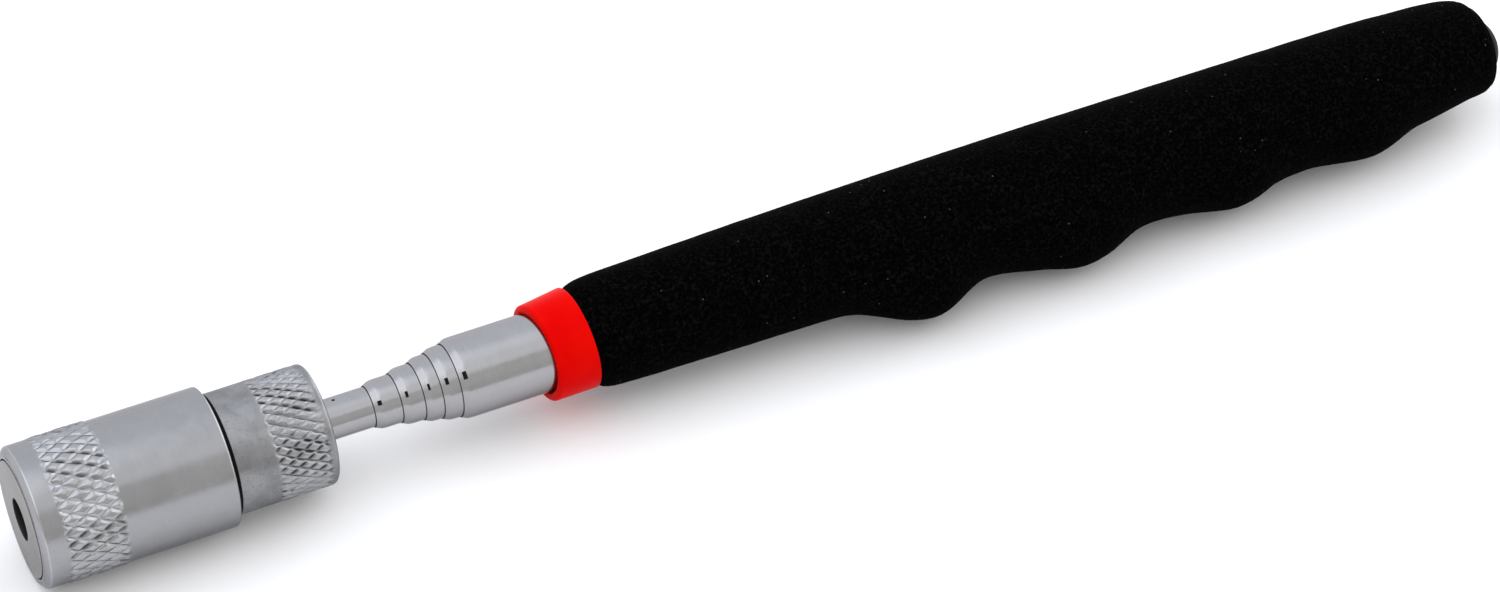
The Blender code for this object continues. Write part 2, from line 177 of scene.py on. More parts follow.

# Rod: lips at the fronts of the tubes, punched pips behind them, and rolled necks at their tails.
# LIP_MOUTH is (depth, rise, painted shade) from the guide, LIP_FACE and LIP_RISE (depth, rise),
# LIP_EASE (reach, steps), NECK (length, depth, ramp), a pip's size (length, width), TIP_PIP (station,
# turn).
TUBE_R = (2.5, 3.0, 3.5, 4.0, 4.5, 5.0)
TUBE_TURNS = 96
TUBE_WALL = 0.3
TIP_CHAMFER = 0.1
LIP_GAP = 0.05
LIP_MOUTH = ((0.0, 0.01, RECESS_SHADE), (0.08, 0.05, 0.9))
LIP_FACE = (0.1, 0.06)
LIP_RISE = (0.86, 0.46)
LIP_LENGTH = 1.5
LIP_EASE = (0.2, 6)
BORE_RAMP = 0.5
NECK = (5.5, 0.2, 0.3)
NECK_SHIFT = 0.1
TAIL_FLANGE = 0.8
PIP_SIZES = ((0.4, 0.4), (0.5, 0.6), (0.34, 0.75), (0.28, 0.8), (0.42, 0.85), (0.5, 1.0))
PIP_DEPTH = 0.22
PIP_WALL = 4.0
PIP_BACK = 0.8
PIP_TURN = math.radians(133.3)
PIP_STEPS = (12, 14)
PIP_TURN_GAP = 0.02
TIP_PIP = (38.66, math.radians(79.0))
TIP_PIP_CLEAR = 1.0

# Collar, foam and end plug. COLLAR_MOUTH is (depth, rise) from the bore, GRIP_MIDDLE_STEPS what is
# left at the front and back and how many steps lie between, SKIN_WAVES (height, scale), PLUG_STEM
# (front, shoulder, radius), PLUG_STEM_CHAMFER (length, inset), PLUG_DOME (front, end, radius).
COLLAR = (64.05, 69.9)
COLLAR_R = (6.12, 6.4)
COLLAR_BORE_R = 5.08
COLLAR_MOUTH = ((0.15, 0.05), (0.3, 0.0))
COLLAR_EDGE = 0.6
COLLAR_BACK_EDGE = 0.2
COLLAR_DIP = 0.65
COLLAR_DIP_TURN = math.radians(133.0)
COLLAR_TILT = math.radians(4.0)
COLLAR_TURNS = 128
LEAN = math.radians(43.1)
LEAN_FADE = 12.0
GRIP = (69.98, 194.5)
GRIP_BORE_R = 5.15
GRIP_TURNS = 96
GRIP_FRONT_STEPS = (0.0, 0.12, 0.3, 0.55, 0.8, 1.3, 2.0)
GRIP_MIDDLE_STEPS = (3.0, 3.5, 118)
GRIP_BACK_STEPS = (2.7, 2.0, 1.4, 0.8, 0.5, 0.3, 0.12, 0.0)
SKIN_WAVES = (0.035, 0.35)
SKIN_SHRINK = 0.02
RIDGE_DROP = math.radians(25.0)
RIDGE_SHARPNESS = 6
BACK_LINE = (
    (69.98, 6.15), (70.85, 6.6), (72.5, 6.98), (81.0, 7.28), (101.0, 7.74), (123.0, 8.0),
    (134.0, 8.05), (165.0, 7.97), (177.0, 7.93), (184.0, 7.68), (189.0, 7.45), (191.8, 7.1),
    (193.7, 6.4), (194.5, 5.6),
)
FRONT_LINE = (
    (69.98, 6.0), (70.85, 6.45), (72.5, 6.74), (81.0, 6.96), (101.0, 7.27), (123.0, 7.95),
    (134.0, 8.0), (165.0, 7.95), (177.0, 7.75), (182.4, 7.3), (186.5, 6.76), (191.0, 6.05),
    (193.7, 5.75), (194.5, 5.35),
)
RIDGE_LINE = (
    (101.5, 0.0), (104.5, 0.48), (107.2, 1.66), (110.0, 2.98), (113.1, 3.58), (122.0, 0.5),
    (128.5, 1.7), (134.2, 3.04), (137.5, 2.48), (140.1, 1.46), (142.2, 0.66), (145.2, 0.3),
    (150.2, 0.88), (152.3, 1.37), (156.0, 2.05), (159.1, 1.56), (161.9, 0.63), (164.6, 0.23),
    (167.0, 0.15), (175.8, 1.4), (183.6, 0.0),
)
PLUG_STEM = (187.0, 192.7, 4.6)
PLUG_STEM_CHAMFER = (0.8, 0.5)
PLUG_R = 5.1
PLUG_RIM = 0.6
PLUG_DOME = (194.6, 197.2, 4.3)
PLUG_TURNS = 96

SHARP = math.radians(32)
FOAM_SHARP = math.radians(50)
WELD = 0.000001


# ---------------------------------------------------------------- meshes

def arc(x, r, radius, start, end, steps=8):
    """Points round part of a circle in the plane of station and radius, from start to end degrees."""
    turns = [math.radians(start + (end - start) * i / steps) for i in range(steps + 1)]
    return [(x + radius * math.cos(a), r + radius * math.sin(a)) for a in turns]


def even_turns(count):
    return [2 * math.pi * k / count for k in range(count)]


def steps_between(start, end, count):
    return [start + (end - start) * i / count for i in range(count + 1)]


def limited(value, most=1.0):
    """value, but at least 0 and at most most."""
    return min(most, max(0.0, value))


def add_piece(name, points, faces, painted_lights, material, sharp=SHARP):
    """A piece of the tool from points in millimetres, each with its painted shade or highlight."""
    mesh = bpy.data.meshes.new(name)
    mesh.from_pydata([(x * MM, y * MM, z * MM) for x, y, z in points], [], faces)
    painted_light = mesh.attributes.new("painted_light", "FLOAT", "POINT")
    painted_light.data.foreach_set("value", painted_lights)
    work = bmesh.new()
    work.from_mesh(mesh)
    bmesh.ops.remove_doubles(work, verts=work.verts, dist=WELD)
    bmesh.ops.recalc_face_normals(work, faces=work.faces)
    work.to_mesh(mesh)
    work.free()
    mesh.shade_smooth()
    mesh.set_sharp_from_angle(angle=sharp)
    mesh.materials.append(material)
    obj = bpy.data.objects.new(name, mesh)
    obj.location = START
    bpy.context.scene.collection.objects.link(obj)
    return obj


def lathe(name, rows, turns, material):
    """A closed piece turned about the axis. A row is (station, radius) or (station, radius, relief).

    relief(station, turn) gives what is added to the radius there, and the painted shade there, a
    painted highlight below 0. Between two rows of one knurl each face has a point in its middle.
    """
    points, painted_lights, rings = [], [], []

    def add_ring(x, r, relief, around):
        rings.append(len(points))
        for turn in around:
            more, painted_light = relief(x, turn) if relief else (0.0, 0.0)
            points.append((x, (r + more) * math.cos(turn), (r + more) * math.sin(turn)))
            painted_lights.append(painted_light)

    rows = [(*row, None) if len(row) == 2 else row for row in rows]
    for row in rows:
        add_ring(*row, turns)
    count = len(turns)
    step = turns[1] - turns[0]
    faces = []
    for i, (x, r, relief) in enumerate(rows):
        next_x, next_r, next_relief = rows[(i + 1) % len(rows)]
        here, there = rings[i], rings[(i + 1) % len(rows)]
        crossed = relief is not None and relief is next_relief and getattr(relief, "crossed", False)
        if crossed:
            add_ring((x + next_x) / 2, (r + next_r) / 2, relief, [t + step / 2 for t in turns])
        for k in range(count):
            after = (k + 1) % count
            corners = (here + k, here + after, there + after, there + k)
            if crossed:
                centre = rings[-1] + k
                faces += [(corners[c], corners[(c + 1) % 4], centre) for c in range(4)]
            else:
                faces.append(corners)
    return add_piece(name, points, faces, painted_lights, material)


def eased(line, reach, steps=4):
    """The line of (station, radius), each corner between its ends rounded over reach mm either way."""
    places = [Vector(point) for point in line]
    rounded = [places[0]]
    for before, corner, after in zip(places, places[1:], places[2:]):
        start, end = (corner + (other - corner).normalized() * min(reach, (other - corner).length / 2)
                      for other in (before, after))
        for i in range(steps + 1):
            u = i / steps
            rounded.append(start * (1 - u) ** 2 + corner * 2 * u * (1 - u) + end * u**2)
    return [tuple(point) for point in rounded + [places[-1]]]


def painted_row(amount):
    """A relief that only paints shade on a row, or a highlight where amount is below 0."""
    return lambda x, turn: (0.0, amount)


def shade_in_groove(place, from_groove, from_other):
    """Painted shade along a groove, in patches, and none where the grooves of the other family cross it.
    """
    gain, start = GROOVE_SHADE
    patch = limited(gain * noise.noise(place * GROOVE_SHADE_SCALE) - start)
    gain, start = GROOVE_CROSSING
    between = limited(gain * from_other - start)
    return patch * min(1.0, GROOVE_DEPTHS * (1 - from_groove) ** 2) * between


def knurl_rows(band, radii, plains, count, shallow, painted_shade, painted_highlight):
    """Rows of a worn diamond knurl: two families of grooves cross and leave rounded pads.

    One family is only shallow times as deep as the other. The plain surface has the radius
    plains[0] in front and plains[1] behind. The grooves wander a little, and some pads are flatter
    than others. Shade is painted in some of the grooves, and highlights on the tops of the pads.
    """
    low, high = radii
    start, end = band
    pitch = 2 * math.pi * high / count / math.tan(KNURL_HELIX)
    rows = round((end - start) / pitch * KNURL_STEPS)
    pitch = (end - start) * KNURL_STEPS / rows

    def plain_at(x):
        return plains[0] + (plains[1] - plains[0]) * (x - start) / (end - start)

    def relief(x, turn):
        place = Vector((x, high * math.cos(turn), high * math.sin(turn)))
        wander = [WANDER * noise.noise(place * WANDER_SCALE + shift) for shift in WANDER_SHIFTS]
        around = turn / (2 * math.pi) * count + wander[0]
        along = (x - start) / pitch + wander[1]
        across = [abs(math.sin(math.pi * v)) for v in (around + along, around - along)]
        pad = min(1.0, KNURL_FLAT * min(across[1], 1 - shallow * (1 - across[0])))
        height = pad * (1 - WEAR * max(0.0, noise.noise(place * WEAR_SCALE)))
        painted_light = max(shade_in_groove(place + shift, here, other)
                   for shift, here, other in zip(GROOVE_SHADE_SHIFTS, across, reversed(across)))
        share = limited(min((x - start) / KNURL_RUN_OUT, (end - x) / KNURL_RUN_OUT))
        return (low + (high - low) * height - plain_at(x)) * share, (painted_light * painted_shade - painted_highlight * height) * share

    relief.crossed = True
    crossed = [(x, plain_at(x), relief) for x in steps_between(start, end, rows)]
    return [(start - KNURL_CLEAR, plains[0]), *crossed, (end + KNURL_CLEAR, plains[1])]


def thread_rows():
    """Rows of a right-hand thread, with painted shade in its roots."""
    low, high = THREAD_R

    def relief(x, turn):
        phase = (x / THREAD_PITCH - turn / (2 * math.pi)) % 1.0
        height = min(1.0, abs(phase - 0.5) * THREAD_FLANK)
        return -(high - low) * (1 - height), THREAD_SHADE * (1 - height)

    rows = round((THREAD[1] - THREAD[0]) / THREAD_PITCH * THREAD_STEPS)
    return [(x, high, relief) for x in steps_between(*THREAD, rows)]


def patchy_line(x, turn):
    """Painted shade that comes and goes along the scribed line of the rim."""
    radius, height = RIM_SHADE_CIRCLE
    gain, start, most = RIM_SHADE
    place = Vector((radius * math.cos(turn), radius * math.sin(turn), height))
    return 0.0, limited(gain * noise.noise(place) - start, most)


def highlighted_edge(x, turn):
    """The outer edge of the rim, with a painted highlight along it."""
    return 0.0, -RIM_EDGE_HIGHLIGHT * max(0.0, 1 - abs(x - RIM_BACK) / RIM_EDGE_WIDTH)


def rim_rows():
    """The head's rim, from the wall of the magnet's pocket, with painted shade, out over the bevel."""
    # (depth, radius, painted shade or highlight), from the pocket's wall over the edge and the scribed
    # line
    face = [
        (0.6, POCKET_R, painted_row(POCKET_SHADE)),
        (0.08, POCKET_R, painted_row(POCKET_SHADE)),
        (0.0, POCKET_R + 0.05, painted_row(POCKET_EDGE_HIGHLIGHT)),
        (0.0, POCKET_R + 0.2, None),
        (0.0, RIM_LINE_R - 0.1, None),
        (RIM_LINE_DEPTH, RIM_LINE_R - 0.04, patchy_line),
        (RIM_LINE_DEPTH, RIM_LINE_R + 0.04, patchy_line),
        (0.02, RIM_LINE_R + 0.1, None),
    ]
    bevel = [(HEAD_FRONT + BEVEL_FRONT[0], RIM_LINE_R + BEVEL_FRONT[1]), (RIM_BACK, HEAD_RIM_R)]
    bevel.append((HEAD_KNURL[0] - RIM_LAND, HEAD_RIM_R))
    rows = [(HEAD_FRONT + depth, r, relief) for depth, r, relief in face]
    return rows + [(x, r, highlighted_edge) for x, r in eased(bevel, RIM_EASE)]


def make_head_shell():
    rows = rim_rows()
    rows += knurl_rows(HEAD_KNURL, HEAD_KNURL_R, (HEAD_RIM_R, HEAD_R), HEAD_KNURL_COUNT,
                       shallow=0.9, painted_shade=0.8, painted_highlight=0.2)
    rows += arc(HEAD_BACK - HEAD_EDGE, HEAD_R - HEAD_EDGE, HEAD_EDGE, 90, 0, 6)
    rows += [(HEAD_BACK, THREAD_BORE_R + THREAD_BORE_CHAMFER)]
    rows += [(HEAD_BACK - THREAD_BORE_CHAMFER, THREAD_BORE_R)]
    rows += [(THREAD_BORE_FRONT, THREAD_BORE_R), (THREAD_BORE_FRONT, CELL_BORE_R)]
    rows += [(WEB[1], CELL_BORE_R), (WEB[1], WEB_HOLE_R), (WEB[0], WEB_HOLE_R), (WEB[0], POCKET_R)]
    return lathe("head_casing", rows, even_turns(HEAD_KNURL_COUNT * KNURL_STEPS), satin_chrome())


def make_magnet():
    front, back = ends_of("ring_magnet")
    shaded_row = painted_row(RECESS_SHADE)
    shade_depth, edge_shade = MAGNET_HOLE_SHADE
    edge_depth, edge_inset = MAGNET_HOLE_EDGE
    # Painted shade down the magnet's hole
    rows = [(front + shade_depth, MAGNET_HOLE_R, shaded_row)]
    rows += [(front + edge_depth, MAGNET_HOLE_R, painted_row(edge_shade)), (front, MAGNET_HOLE_R + edge_inset)]
    edge = [(front + depth, MAGNET_R - inset) for depth, inset in MAGNET_EDGE]
    # Painted shade on the magnet's side and back, in the pocket round it
    rows += edge[:-1] + [(*edge[-1], shaded_row), (back, MAGNET_R, shaded_row), (back, MAGNET_HOLE_R, shaded_row)]
    return lathe("magnet_face", rows, even_turns(MAGNET_TURNS), magnet_plating())


def make_lamp():
    """The clear lens, and inside it the cup on its post, with the yellow chip in the cup."""
    tip = ends_of("led")[0]
    rows = arc(tip + LAMP_R, 0.0, LAMP_R, 180, 90, 12)
    rows += [(LAMP_FLANGE[0], LAMP_R), (LAMP_FLANGE[0], LAMP_FLANGE_R)]
    rows += [(LAMP_FLANGE[1], LAMP_FLANGE_R), (LAMP_FLANGE[1], 0.0)]
    lens = lathe("led_lens", rows, even_turns(LENS_TURNS), lamp_epoxy())
    rim = tip + LAMP_CUP_FRONT
    post_back = LAMP_FLANGE[1] - LAMP_POST_GAP
    rows = [(rim + depth, r) for depth, r in LAMP_CUP]
    rows += [(post_back, LAMP_POST_R), (post_back, 0.0)]
    rows += [(rim + depth, r) for depth, r in LAMP_CUP_INSIDE]
    cup = lathe("led_cup", rows, even_turns(CUP_TURNS), plain_steel("led_frame"))
    rows = [(rim + depth, r) for depth, r in LAMP_CHIP]
    chip = lathe("led_chip", rows, even_turns(CHIP_TURNS), lamp_phosphor())
    return lens, cup, chip


def make_rear_cap():
    neck, back = ends_of("rear_cap")
    shaded_row = painted_row(RECESS_SHADE)
    chamfer_back = CAP_FRONT + CAP_CHAMFER
    edge_length, edge_inset = CAP_CHAMFER_EDGE
    rows = [(neck, THREAD_R[0] - NECK_CHAMFER[1]), (neck + NECK_CHAMFER[0], THREAD_R[0])]
    rows += thread_rows()
    # Painted shade in the seam between the head and the cap, over the thread's run-out and the cap's
    # front chamfer
    rows += [(THREAD[1] + THREAD_RUN_OUT, THREAD_R[0], shaded_row), (CAP_FRONT, THREAD_R[0], shaded_row)]
    rows += [(CAP_FRONT, CAP_R - CAP_CHAMFER, shaded_row), (chamfer_back, CAP_R - edge_inset, shaded_row)]
    rows += [(chamfer_back + edge_length, CAP_R)]
    rows += knurl_rows(CAP_KNURL, CAP_KNURL_R, (CAP_R, CAP_R), CAP_KNURL_COUNT,
                       shallow=0.7, painted_shade=1.0, painted_highlight=0.4)
    rows += arc(back - CAP_EDGE, CAP_R - CAP_EDGE, CAP_EDGE, 90, 0, 8)
    rows += [(back, SOCKET_R + SOCKET_CHAMFER), (back - SOCKET_CHAMFER, SOCKET_R)]
    rows += [(CAP_WALL[1], SOCKET_R), (CAP_WALL[1], SCREW_HOLE_R), (CAP_WALL[0], SCREW_HOLE_R)]
    rows += [(CAP_WALL[0], CAP_BORE_R), (neck, CAP_BORE_R)]
    finish = satin_chrome("cap_chrome", shade=0.84, mottle=0.28, roughness=0.38)
    return lathe("rear_casing", rows, even_turns(CAP_KNURL_COUNT * KNURL_STEPS), finish)


def pip_relief(station, middle, radius, size):
    """A small punched dent with painted shade in it, as strong as the dent is deep. size is its length
    along the tube and its width round it.
    """
    half_long, half_round = size[0] / 2, size[1] / 2

    def relief(x, turn):
        away = (turn - middle + math.pi) % (2 * math.pi) - math.pi
        reach = max(abs(x - station) / half_long, abs(away) * radius / half_round)
        share = limited((1.0 - reach) * PIP_WALL)
        return -PIP_DEPTH * share, share

    return relief


def height_at(line, x):
    """Radius of a line of (station, radius) at x, straight between its points."""
    for (x0, r0, *_), (x1, r1, *_) in zip(line, line[1:]):
        if x0 <= x <= x1:
            return r0 + (r1 - r0) * (x - x0) / max(x1 - x0, 1e-9)
    return line[-1][1]


def dented(outer, station, middle, radius, size):
    """The outer line with close rows through a dent, and the turns that go with them."""
    relief = pip_relief(station, middle, radius, size)
    half_long, half_turn = size[0] / 2, size[1] / 2 / radius
    close = steps_between(station - half_long, station + half_long, PIP_STEPS[0])
    rows = [row for row in outer if row[0] < close[0]]
    rows += [(x, height_at(outer, x), relief) for x in close]
    rows += [row for row in outer if row[0] > close[-1]]
    near = steps_between(middle - half_turn, middle + half_turn, PIP_STEPS[1])
    start, end = near[0] - PIP_TURN_GAP, near[-1] + PIP_TURN_GAP
    turns = [turn for turn in even_turns(TUBE_TURNS) if turn < start or turn > end]
    return rows, sorted(turns + near)


def lip_lines(front, within, r):
    """The outer and inner lines of a tube's lip. within is the radius of the tube inside it."""
    guide = within + LIP_GAP
    shoulder = front + LIP_RISE[0]
    # Painted shade at the lip's mouth, in the gap round the tube inside it
    outer = [(front + depth, guide + rise, painted_row(painted_light)) for depth, rise, painted_light in LIP_MOUTH]
    outline = [(front + LIP_FACE[0], guide + LIP_FACE[1]), (shoulder, within + LIP_RISE[1])]
    outline.append((front + LIP_LENGTH, r))
    inner = [(front, guide), (shoulder, guide), (shoulder + BORE_RAMP, r - TUBE_WALL)]
    return outer + eased(outline, *LIP_EASE), inner


def make_tube(i):
    """Tube i of the rod, counted from 1 at the head."""
    front, tail = ends_of(f"tube_{i}")
    r = TUBE_R[i - 1]
    bore = r - TUBE_WALL
    if i == 1:
        station, middle = TIP_PIP
        outer = [(front, r - TIP_CHAMFER), (front + TIP_CHAMFER, r), (station + TIP_PIP_CLEAR, r)]
        inner = [(front, bore)]
    else:
        station, middle = front + PIP_BACK, PIP_TURN
        outer, inner = lip_lines(front, TUBE_R[i - 2], r)
    if i < len(TUBE_R):
        length, depth, ramp = NECK
        end = tail - TAIL_FLANGE
        start = end - length
        outer += [(start, r), (start + ramp, r - depth), (end - ramp, r - depth), (end, r)]
        inner += [(start - NECK_SHIFT, bore), (start + ramp - NECK_SHIFT, bore - depth)]
        inner += [(end - ramp + NECK_SHIFT, bore - depth), (end + NECK_SHIFT, bore)]
    outer += [(tail, r)]
    rows, turns = dented(outer, station, middle, r, PIP_SIZES[i - 1])
    rows += [(tail, bore)] + inner[::-1]
    return lathe(f"rod_tube_{i}", rows, turns, tube_chrome())


def make_collar():
    """The red ring in front of the foam. It leans a little on the tube, and its front edge dips."""
    middle = sum(COLLAR) / 2
    mouth = [(COLLAR[0] + depth, COLLAR_BORE_R + rise) for depth, rise in COLLAR_MOUTH]
    outline = [mouth[0]]
    outline += arc(COLLAR[0] + COLLAR_EDGE, COLLAR_R[0] - COLLAR_EDGE, COLLAR_EDGE, 180, 90, 10)
    outline += arc(COLLAR[1] - COLLAR_BACK_EDGE, COLLAR_R[1] - COLLAR_BACK_EDGE, COLLAR_BACK_EDGE,
                   90, 0, 4)
    outline += [(COLLAR[1], COLLAR_BORE_R), mouth[1]]
    rows = [(x - middle, r) for x, r in outline]
    ring = lathe("red_collar", rows, even_turns(COLLAR_TURNS), red_plastic())
    for vertex in ring.data.vertices:
        share = max(0.0, -vertex.co.x / (middle - COLLAR[0]) / MM)
        dip = math.cos(math.atan2(vertex.co.z, vertex.co.y) - COLLAR_DIP_TURN)
        vertex.co.x += COLLAR_DIP * MM * share * max(0.0, dip)
    ring.location.x += middle * MM
    ring.rotation_mode = "QUATERNION"
    across = Vector((0.0, -math.sin(LEAN), math.cos(LEAN)))
    ring.rotation_quaternion = Quaternion(across, COLLAR_TILT)
    return ring


def make_end_plug():
    start, end, dome_r = PLUG_DOME
    rise = end - start
    ball = (dome_r**2 + rise**2) / (2 * rise)
    widest = math.degrees(math.asin(dome_r / ball))
    stem_front, shoulder, stem_r = PLUG_STEM
    length, inset = PLUG_STEM_CHAMFER
    rows = [(stem_front, 0.0), (stem_front, stem_r - inset), (stem_front + length, stem_r)]
    rows += [(shoulder, stem_r), (shoulder, PLUG_R), (start - PLUG_RIM, PLUG_R)]
    rows += arc(end - ball, 0.0, ball, widest, 0, 14)[:-1] + [(end, 0.0)]
    return lathe("plug_dome", rows, even_turns(PLUG_TURNS), black_plastic())


# ---------------------------------------------------------------- foam

def interpolate(line, x):
    """Height of a line of (station, height) at x, as a smooth curve with level ends."""
    if x <= line[0][0]:
        return line[0][1]
    if x >= line[-1][0]:
        return line[-1][1]
    i = max(k for k in range(len(line) - 1) if line[k][0] <= x)
    slopes = [line_slope(line, k) for k in (i, i + 1)]
    span = line[i + 1][0] - line[i][0]
    u = (x - line[i][0]) / span
    rise = line[i + 1][1] - line[i][1]
    bend_in = slopes[0] * span - rise
    bend_out = rise - slopes[1] * span
    return line[i][1] + u * rise + u * (1 - u) * ((1 - u) * bend_in + u * bend_out)


def line_slope(line, k):
    """Slope of the smooth curve at its point k: that of the gentler neighbour, or level at a turn."""
    if k in (0, len(line) - 1):
        return 0.0
    before = (line[k][1] - line[k - 1][1]) / (line[k][0] - line[k - 1][0])
    after = (line[k + 1][1] - line[k][1]) / (line[k + 1][0] - line[k][0])
    if before * after <= 0.0:
        return 0.0
    return math.copysign(min(abs(before + after) / 2, 2 * abs(before), 2 * abs(after)), before)


def grip_radius(x, turn):
    """Distance from the axis to the foam's skin, turn radians from the middle of the ridges."""
    back = interpolate(BACK_LINE, x)
    front = interpolate(FRONT_LINE, x)
    mean = (back + front) / 2
    offset = (back - front) / 2
    hull = math.sqrt(mean**2 - (offset * math.sin(turn)) ** 2) - offset * math.cos(turn)
    ridge = interpolate(RIDGE_LINE, x) * ((1 + math.cos(turn)) / 2) ** RIDGE_SHARPNESS
    return hull + ridge


def leaned(x, y, z):
    """A point of the foam, moved along the tool so that its front end follows the collar's lean."""
    height = y * math.cos(LEAN) + z * math.sin(LEAN)
    share = max(0.0, 1.0 - (x - GRIP[0]) / LEAN_FADE)
    return x - share * height * math.tan(COLLAR_TILT), y, z


def foam_point(x, turn, radius=None):
    """A point of the foam's skin, or of its bore if radius is given."""
    angle = math.pi + RIDGE_DROP + turn
    direction = Vector((0.0, math.cos(angle), math.sin(angle)))
    if radius is None:
        radius = grip_radius(x, turn)
        place = Vector((x, 0.0, 0.0)) + direction * radius
        height, scale = SKIN_WAVES
        radius += height * noise.noise(place * scale) - SKIN_SHRINK
    return leaned(x, *(direction * radius).yz)


def make_foam():
    front, back = GRIP
    lead, trail, steps = GRIP_MIDDLE_STEPS
    stations = [front + step for step in GRIP_FRONT_STEPS]
    stations += steps_between(front + lead, back - trail, steps)
    stations += [back - step for step in GRIP_BACK_STEPS]
    turns = even_turns(GRIP_TURNS)
    rings = [[foam_point(x, turn) for turn in turns] for x in stations]
    rings += [[foam_point(x, turn, GRIP_BORE_R) for turn in turns] for x in (back, front)]
    count = len(turns)
    faces = []
    for i in range(len(rings)):
        here, there = i * count, (i + 1) % len(rings) * count
        for k in range(count):
            after = (k + 1) % count
            faces.append((here + k, here + after, there + after, there + k))
    points = [point for ring in rings for point in ring]
    return add_piece("foam_sleeve", points, faces, [0.0] * len(points), black_foam(), FOAM_SHARP)


# ---------------------------------------------------------------- materials

def start_material(name, **values):
    """A new material's node tree, its shader with constant values, and its coordinates in mm."""
    material = bpy.data.materials.new(name)
    material.use_nodes = True
    tree = material.node_tree
    shader = tree.nodes["Principled BSDF"]
    for socket, value in values.items():
        shader.inputs[socket.replace("_", " ")].default_value = value
    place = tree.nodes.new("ShaderNodeTexCoord").outputs["Object"]
    scaled = tree.nodes.new("ShaderNodeVectorMath")
    scaled.operation = "SCALE"
    scaled.inputs["Scale"].default_value = 1 / MM
    tree.links.new(place, scaled.inputs[0])
    return material, tree, shader, scaled.outputs[0]


def grain(tree, place, size, detail=3.0, stretch=(1.0, 1.0, 1.0), distortion=0.0):
    """Noise whose features are size mm across, longer along an axis where stretch is larger."""
    shaped = tree.nodes.new("ShaderNodeVectorMath")
    shaped.operation = "DIVIDE"
    shaped.inputs[1].default_value = [size * s for s in stretch]
    tree.links.new(place, shaped.inputs[0])
    noisy = tree.nodes.new("ShaderNodeTexNoise")
    noisy.inputs["Scale"].default_value = 1.0
    noisy.inputs["Detail"].default_value = detail
    noisy.inputs["Distortion"].default_value = distortion
    tree.links.new(shaped.outputs[0], noisy.inputs["Vector"])
    return noisy.outputs["Fac"]


def spread(tree, value, low, high, start=0.3, end=0.7):
    """value, from start to end, as a number from low to high."""
    node = tree.nodes.new("ShaderNodeMapRange")
    for socket, number in zip(("From Min", "From Max", "To Min", "To Max"), (start, end, low, high)):
        node.inputs[socket].default_value = number
    tree.links.new(value, node.inputs["Value"])
    return node.outputs["Result"]


def mix(tree, share, first, second):
    """A colour from first to second. Each is a colour or a socket."""
    node = tree.nodes.new("ShaderNodeMix")
    node.data_type = "RGBA"
    tree.links.new(share, node.inputs["Factor"])
    for socket, colour in zip((node.inputs[6], node.inputs[7]), (first, second)):
        if isinstance(colour, bpy.types.NodeSocket):
            tree.links.new(colour, socket)
        else:
            socket.default_value = (*colour, 1.0)
    return node.outputs[2]


def calculate(tree, operation, first, second):
    node = tree.nodes.new("ShaderNodeMath")
    node.operation = operation
    for socket, value in zip(node.inputs, (first, second)):
        if isinstance(value, bpy.types.NodeSocket):
            tree.links.new(value, socket)
        else:
            socket.default_value = value
    return node.outputs[0]


def roughen(tree, shader, heights):
    """Bumps on the shader's surface. heights is a list of (socket, depth in mm)."""
    normal = None
    for height, depth in heights:
        node = tree.nodes.new("ShaderNodeBump")
        node.inputs["Strength"].default_value = 1.0
        node.inputs["Distance"].default_value = depth * MM
        tree.links.new(height, node.inputs["Height"])
        if normal:
            tree.links.new(normal, node.inputs["Normal"])
        normal = node.outputs["Normal"]
    tree.links.new(normal, shader.inputs["Normal"])


# The painted shade (above 0) and painted highlights (below 0) of each point of a piece
def painted_light_of(tree):
    node = tree.nodes.new("ShaderNodeAttribute")
    node.attribute_name = "painted_light"
    return node.outputs["Fac"]


def scaled_colour(colour, factor):
    return tuple(c * factor for c in colour)


# What a metal's polish holds: sizes and depths in mm, shades as parts of the metal's colour, and
# what the clouds and specks add to its roughness
CLOUD_SIZE, SPECK_SIZE, LINE_SIZE, LINE_STRETCH = 2.6, 0.25, 0.07, 30.0
CLOUD_WARP = 0.6
SPECK_RANGE = (0.58, 0.72)
CLOUD_DEPTH, SPECK_DEPTH = 0.006, 0.0015
CLOUD_BLUR, SPECK_BLUR = (-0.04, 0.05), (-0.02, 0.03)
# The last of these shades is that of a painted highlight
LINE_SHADE, SPECK_SHADE, HIGHLIGHT_SHADE = 0.75, 0.5, 1.7
LINE_SHARE = 0.25
# The colour of painted shade, and the roughness that painted shade adds
SHADE_COLOUR = (0.015, 0.015, 0.015)
SHADE_ROUGHNESS = 0.3
METAL_EDGE_TINT = (0.62, 0.62, 0.64, 1.0)


